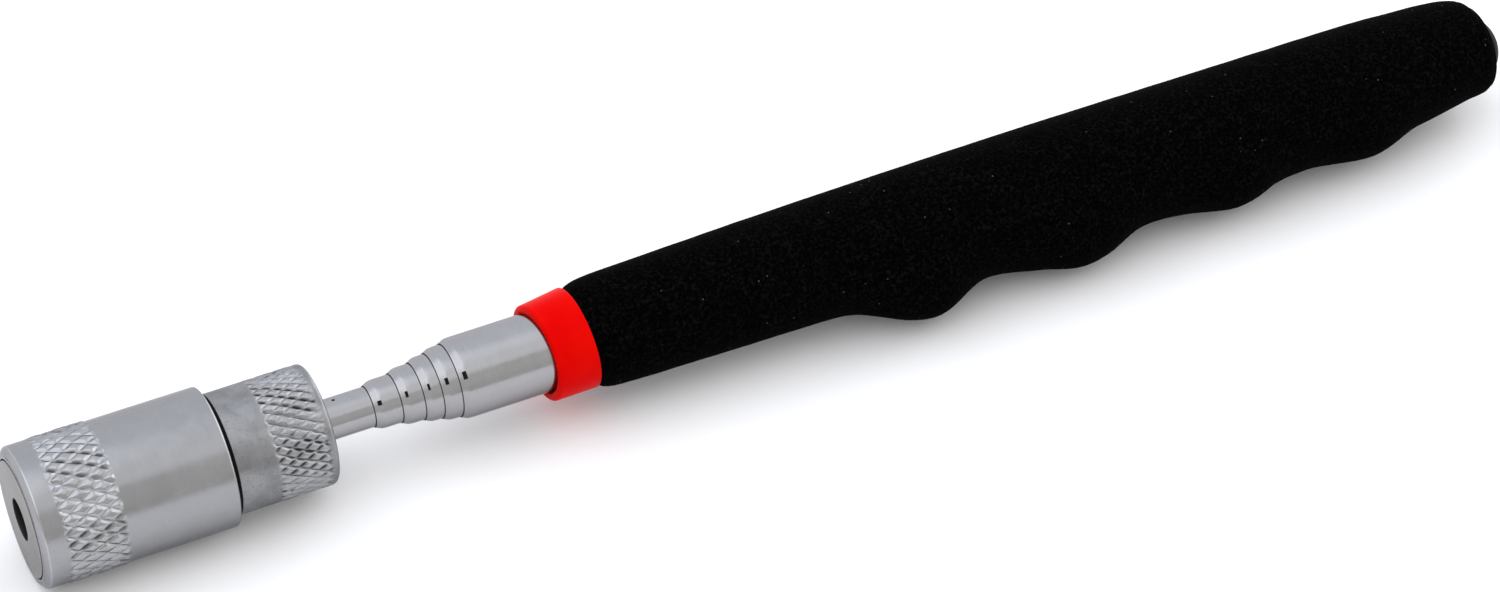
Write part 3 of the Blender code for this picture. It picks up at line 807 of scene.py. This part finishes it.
def metal(name, colour, roughness, mottle, line_depth):
    """Turned metal: lines round the axis, faint clouds and specks in its polish, and the painted shade
    and highlights its pieces hold.
    """
    material, tree, shader, place = start_material(name, Metallic=1.0, Specular_Tint=METAL_EDGE_TINT)
    clouds = grain(tree, place, CLOUD_SIZE, detail=4.0, distortion=CLOUD_WARP)
    along = (1.0, LINE_STRETCH, LINE_STRETCH)
    lines = grain(tree, place, LINE_SIZE, detail=2.0, stretch=along)
    specks = grain(tree, place, SPECK_SIZE, detail=2.0)
    low, high = scaled_colour(colour, 1 - mottle), scaled_colour(colour, 1 + mottle / 2)
    polished = mix(tree, spread(tree, clouds, 0.0, 1.0), low, high)
    lined = mix(tree, spread(tree, lines, 0.0, LINE_SHARE), polished, scaled_colour(colour, LINE_SHADE))
    # Painted highlights where the piece's value is below 0, painted shade where it is above 0
    highlighted = calculate(tree, "MULTIPLY", painted_light_of(tree), -1.0)
    speck_share = spread(tree, specks, 0.0, 2 * mottle, *SPECK_RANGE)
    pitted = mix(tree, speck_share, lined, scaled_colour(colour, SPECK_SHADE))
    with_highlights = mix(tree, highlighted, pitted, scaled_colour(colour, HIGHLIGHT_SHADE))
    tree.links.new(mix(tree, painted_light_of(tree), with_highlights, SHADE_COLOUR), shader.inputs["Base Color"])
    polish = spread(tree, clouds, *(roughness + change for change in CLOUD_BLUR))
    polish = calculate(tree, "ADD", polish, spread(tree, specks, *SPECK_BLUR))
    # Painted shade also roughens the metal, and painted highlights smooth it
    painted_shade = calculate(tree, "MULTIPLY", painted_light_of(tree), SHADE_ROUGHNESS)
    tree.links.new(calculate(tree, "ADD", polish, painted_shade), shader.inputs["Roughness"])
    roughen(tree, shader, [(lines, line_depth), (specks, SPECK_DEPTH), (clouds, CLOUD_DEPTH)])
    return material


def satin_chrome(name="satin_chrome", shade=1.0, mottle=0.04, roughness=0.22):
    colour = scaled_colour((0.318, 0.321, 0.331), shade)
    return metal(name, colour, roughness, mottle, line_depth=0.0012)


def tube_chrome():
    return metal("tube_chrome", (0.355, 0.355, 0.362), roughness=0.17, mottle=0.03, line_depth=0.0008)


def magnet_plating():
    return metal("magnet_plating", (0.37, 0.36, 0.34), roughness=0.3, mottle=0.08, line_depth=0.001)


def plain_steel(name="plain_steel"):
    return metal(name, (0.55, 0.55, 0.54), roughness=0.3, mottle=0.1, line_depth=0.002)


def contact_brass():
    return metal("contact_brass", (0.72, 0.5, 0.2), roughness=0.28, mottle=0.12, line_depth=0.002)


def cell_steel():
    return metal("cell_steel", (0.62, 0.62, 0.6), roughness=0.22, mottle=0.08, line_depth=0.001)


def lamp_epoxy():
    # The lens's dark olive tint is partly painted shade of the hole it sits in, and partly the epoxy's
    # own yellow
    material, tree, shader, place = start_material(
        "lamp_epoxy", Transmission_Weight=1.0, IOR=1.53, Base_Color=(0.3, 0.28, 0.2, 1.0))
    ripple = grain(tree, place, size=1.2, detail=2.0)
    tree.links.new(spread(tree, ripple, 0.02, 0.07), shader.inputs["Roughness"])
    roughen(tree, shader, [(ripple, 0.01)])
    return material


def lamp_phosphor():
    material, tree, shader, place = start_material("lamp_phosphor", Roughness=0.6)
    powder = grain(tree, place, size=0.08)
    colour = mix(tree, spread(tree, powder, 0.0, 1.0), (0.2, 0.16, 0.04), (0.34, 0.28, 0.08))
    tree.links.new(colour, shader.inputs["Base Color"])
    roughen(tree, shader, [(powder, 0.02)])
    return material


PLASTIC_CLOUD_SIZE = 4.0
PLASTIC_BLUR = (-0.05, 0.06)


def moulded(name, low, high, roughness, peel_size, peel_depth, **values):
    """Moulded plastic: a fine orange peel, and slight changes of colour and gloss."""
    material, tree, shader, place = start_material(name, **values)
    peel = grain(tree, place, peel_size)
    clouds = grain(tree, place, PLASTIC_CLOUD_SIZE)
    tree.links.new(mix(tree, spread(tree, clouds, 0.0, 1.0), low, high), shader.inputs["Base Color"])
    polish = spread(tree, clouds, *(roughness + change for change in PLASTIC_BLUR))
    tree.links.new(polish, shader.inputs["Roughness"])
    roughen(tree, shader, [(peel, peel_depth), (clouds, peel_depth * 2)])
    return material


def red_plastic():
    return moulded("red_plastic", (0.55, 0.0, 0.0), (0.6, 0.002, 0.0), roughness=0.4,
                   peel_size=0.3, peel_depth=0.004, Specular_IOR_Level=0.02)


def black_plastic():
    return moulded("black_plastic", (0.002, 0.002, 0.0025), (0.004, 0.004, 0.0045), roughness=0.4,
                   peel_size=0.5, peel_depth=0.006, Specular_IOR_Level=0.025)


def black_nylon():
    return moulded("black_nylon", (0.012, 0.012, 0.012), (0.02, 0.02, 0.02), roughness=0.5,
                   peel_size=0.2, peel_depth=0.004)


def green_film():
    return moulded("green_film", (0.03, 0.13, 0.07), (0.05, 0.19, 0.1), roughness=0.3,
                   peel_size=1.0, peel_depth=0.01)


def cells(tree, place, scale):
    """Distance to the nearest of scattered points. scale is how many there are in a mm."""
    node = tree.nodes.new("ShaderNodeTexVoronoi")
    node.inputs["Scale"].default_value = scale
    tree.links.new(place, node.inputs["Vector"])
    return node.outputs["Distance"]


# Foam: sizes and depths of its grain and lumps in mm, pores and dust in scattered points per mm
FOAM_GRAIN_SIZE, FOAM_LUMP_SIZE = 0.4, 1.5
FOAM_LUMP_DEPTH, FOAM_GRAIN_DEPTH, FOAM_PORE_DEPTH = 0.05, 0.05, 0.03
FOAM_PORES, FOAM_DUST = 2.6, 0.5
FOAM_ROUGHNESS = (0.78, 0.95)
FOAM_DARK = (0.0002, 0.0002, 0.0002)
FOAM_LIGHT = (0.0045, 0.0045, 0.0044)
FOAM_CLOUD = (0.0003, 0.0003, 0.0004)
DUST_COLOUR = (0.06, 0.06, 0.055)


def black_foam():
    """Closed-cell foam: a matt skin of fine grain and pores, with a few specks of dust."""
    material, tree, shader, place = start_material(
        "black_foam", Specular_IOR_Level=0.008, Sheen_Weight=0.002, Sheen_Roughness=0.4)
    fine = grain(tree, place, FOAM_GRAIN_SIZE, detail=4.0)
    coarse = grain(tree, place, FOAM_LUMP_SIZE)
    pores = spread(tree, cells(tree, place, FOAM_PORES), 0.0, 1.0, start=0.05, end=0.35)
    dust = spread(tree, cells(tree, place, FOAM_DUST), 1.0, 0.0, start=0.03, end=0.06)
    light = spread(tree, fine, 0.0, 1.0, start=0.45, end=0.7)
    skin = mix(tree, light, FOAM_DARK, FOAM_LIGHT)
    clouded = mix(tree, spread(tree, coarse, 0.0, 0.6), skin, FOAM_CLOUD)
    tree.links.new(mix(tree, dust, clouded, DUST_COLOUR), shader.inputs["Base Color"])
    tree.links.new(spread(tree, fine, *FOAM_ROUGHNESS), shader.inputs["Roughness"])
    heights = [(coarse, FOAM_LUMP_DEPTH), (fine, FOAM_GRAIN_DEPTH), (pores, FOAM_PORE_DEPTH)]
    roughen(tree, shader, heights)
    return material


# ---------------------------------------------------------------- assembly

def fit(piece, body, slot, *nodes):
    """The piece moves with a CAD body and stands for CAD nodes. slot is not used."""
    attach(piece, body)
    if nodes:
        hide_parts(*nodes)


def make_pieces():
    fit(make_head_shell(), "head", "chromed_head", "head_shell")
    fit(make_magnet(), "head", "magnet", "ring_magnet")
    lens, cup, chip = make_lamp()
    fit(lens, "battery_pack", "lamp_lens", "led")
    fit(cup, "battery_pack", "plain_steel")
    fit(chip, "battery_pack", "lamp_lens")
    fit(make_rear_cap(), "section_1", "chromed_head", "rear_cap")
    for i in range(1, len(TUBE_R)):
        fit(make_tube(i), f"section_{i}", "chromed_rod", f"tube_{i}")
    fit(make_tube(len(TUBE_R)), "grip", "chromed_rod", f"tube_{len(TUBE_R)}")
    fit(make_collar(), "grip", "red_plastic", "collar")
    foam = make_foam()
    fit(foam, "grip", "black_foam", "foam_grip")
    fit(make_end_plug(), "grip", "black_plastic", "end_plug")


def finish_inner_nodes():
    """Better materials for the CAD nodes inside the tool, which keep their shapes."""
    brass, cell_can = contact_brass(), cell_steel()
    finishes = {
        "contact_pin": brass,
        "rod_tip_plug": brass,
        "head_screw": plain_steel(),
        "contact_spring": plain_steel("spring_steel"),
        "led_holder": black_nylon(),
        "battery_sleeve": green_film(),
    }
    finishes.update({f"friction_bush_{i}": brass for i in range(1, len(TUBE_R))})
    finishes.update({name: cell_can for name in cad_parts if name.startswith("button_cell")})
    for name, material in finishes.items():
        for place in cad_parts[name].material_slots:
            place.material = material


# ---------------------------------------------------------------- floor, light and camera

# The camera looks at AIM, a place in mm, from a distance in mm and a direction
AIM = Vector((91.608, -2.051, 0.0))
DISTANCE = 603.99
AZIMUTH = math.radians(25.132)
ELEVATION = math.radians(43.859)

# The room's brightness, from the side away from the light (-1) to the side of the light (1)
LIGHT_SIDE = Vector((-0.12, 0.6, 0.79))
SKY_STRENGTH = 1.3
SKY = (
    (-1.0, (0.58, 0.57, 0.56)), (-0.6, (0.58, 0.57, 0.56)), (-0.25, (0.69, 0.68, 0.67)),
    (0.04, (0.69, 0.68, 0.67)), (0.1, (0.66, 0.65, 0.65)), (0.2, (1.0, 1.0, 1.02)),
    (0.45, (1.0, 1.01, 1.03)), (0.75, (0.9, 0.91, 0.96)), (0.9, (0.88, 0.9, 0.97)),
)

# Brighter parts of the room: the direction, the cosines where each starts and is full, its strength
GLOWS = (
    (Vector((-0.35, 0.08, 0.93)), 0.79, 0.93, 0.75),
    (Vector((1.0, 0.0, 0.0)), 0.45, 0.7, 1.6),
)

# The soft lights: name, place and size in metres, power in watts
SOFTBOXES = (
    ("key_light", Vector((-0.33, 0.52, 0.71)), (0.7, 0.6), 0.9),
    ("front_fill", Vector((-0.35, -0.65, 0.5)), (0.8, 0.6), 0.1),
)
FLOOR_SIZE = 6.0
FLOOR_GAP = 0.00002
PAPER_CLOUD_SIZE = 40.0


def make_floor():
    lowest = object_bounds()[0].z
    bpy.ops.mesh.primitive_plane_add(size=FLOOR_SIZE, location=(0.0, 0.0, lowest - FLOOR_GAP))
    floor = bpy.context.object
    floor.name = "floor"
    material, tree, shader, place = start_material(
        "floor_paper", Roughness=0.9, Specular_IOR_Level=0.1)
    paper = grain(tree, place, PAPER_CLOUD_SIZE, detail=2.0)
    colour = mix(tree, spread(tree, paper, 0.0, 1.0), (0.79, 0.79, 0.79), (0.81, 0.81, 0.81))
    tree.links.new(colour, shader.inputs["Base Color"])
    floor.data.materials.append(material)


def make_camera():
    data = bpy.data.cameras.new("camera")
    data.lens = 120.0
    data.sensor_width = 36.0
    data.clip_start = 0.01
    data.clip_end = 20.0
    camera = bpy.data.objects.new("camera", data)
    bpy.context.scene.collection.objects.link(camera)
    level = math.cos(ELEVATION)
    away = Vector((-math.sin(AZIMUTH) * level, -math.cos(AZIMUTH) * level, math.sin(ELEVATION)))
    camera.location = START + (AIM + away * DISTANCE) * MM
    camera.rotation_mode = "QUATERNION"
    camera.rotation_quaternion = (-away).to_track_quat("-Z", "Y")
    bpy.context.scene.camera = camera


def add_softbox(name, place, size, power):
    """A rectangular light that faces the middle of the tool and is not seen in reflections."""
    data = bpy.data.lights.new(name, "AREA")
    data.shape = "RECTANGLE"
    data.size, data.size_y = size
    data.energy = power
    light = bpy.data.objects.new(name, data)
    light.location = place
    light.rotation_mode = "QUATERNION"
    light.rotation_quaternion = (-place).to_track_quat("-Z", "X")
    bpy.context.scene.collection.objects.link(light)
    light.visible_glossy = False


def facing(tree, towards):
    """Cosine of the angle between the seen direction of the room and the direction towards."""
    node = tree.nodes.new("ShaderNodeVectorMath")
    node.operation = "DOT_PRODUCT"
    node.inputs[1].default_value = towards
    tree.links.new(tree.nodes.new("ShaderNodeTexCoord").outputs["Generated"], node.inputs[0])
    return node.outputs["Value"]


def make_lights():
    world = bpy.data.worlds.new("studio")
    bpy.context.scene.world = world
    world.use_nodes = True
    tree = world.node_tree
    background = tree.nodes["Background"]
    side = spread(tree, facing(tree, LIGHT_SIDE), 0.0, 1.0, start=-1.0, end=1.0)
    ramp = tree.nodes.new("ShaderNodeValToRGB")
    tree.links.new(side, ramp.inputs["Fac"])
    stops = ramp.color_ramp.elements
    stops[0].position, stops[1].position = (1 + SKY[0][0]) / 2, (1 + SKY[-1][0]) / 2
    for cosine, _ in SKY[1:-1]:
        stops.new((1 + cosine) / 2)
    for stop, (_, colour) in zip(stops, SKY):
        stop.color = (*colour, 1.0)
    tree.links.new(ramp.outputs["Color"], background.inputs["Color"])
    strength = SKY_STRENGTH
    for towards, start, full, gain in GLOWS:
        glow = spread(tree, facing(tree, towards), 0.0, gain, start, full)
        strength = calculate(tree, "ADD", glow, strength)
    tree.links.new(strength, background.inputs["Strength"])
    for box in SOFTBOXES:
        add_softbox(*box)


make_pieces()
finish_inner_nodes()
make_floor()
make_camera()
make_lights()
bpy.context.scene.view_settings.view_transform = "Standard"
